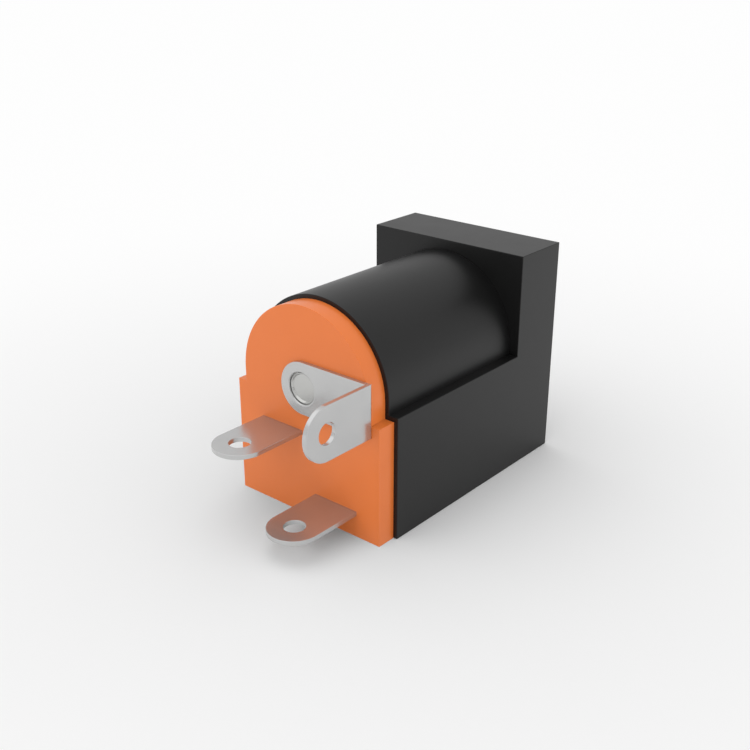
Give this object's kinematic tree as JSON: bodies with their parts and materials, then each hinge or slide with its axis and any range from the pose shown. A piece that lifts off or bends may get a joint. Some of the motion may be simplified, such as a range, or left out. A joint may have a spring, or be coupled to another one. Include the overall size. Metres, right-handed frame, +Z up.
{
  "type": "dc barrel jack",
  "caption": "DC barrel jack for a 5.5 mm plug: box housing with a square flange and a round barrel, orange terminal plate, centre pin, sleeve spring, switch contact and solder lugs.",
  "frame": {"origin": "under the middle of the whole jack, on the plane of its underside", "axes": "-Y out of the plug mouth, +Y towards the solder lugs, +Z up from the flat underside, +X towards the switch lug"},
  "size_m": [0.009, 0.0174, 0.011],
  "materials": {
    "black_plastic": "satin moulded",
    "orange_plastic": "satin moulded",
    "tinned_strip": "satin tin plating on copper alloy strip",
    "nickel_pin": "satin nickel plating on turned brass"
  },
  "bodies": {
    "root": {"housing": "black_plastic", "terminal_plate": "orange_plastic", "centre_pin": "nickel_pin", "centre_pin_lug": "tinned_strip", "sleeve_spring": "tinned_strip", "switch_contact": "tinned_strip"}
  },
  "joints": []
}
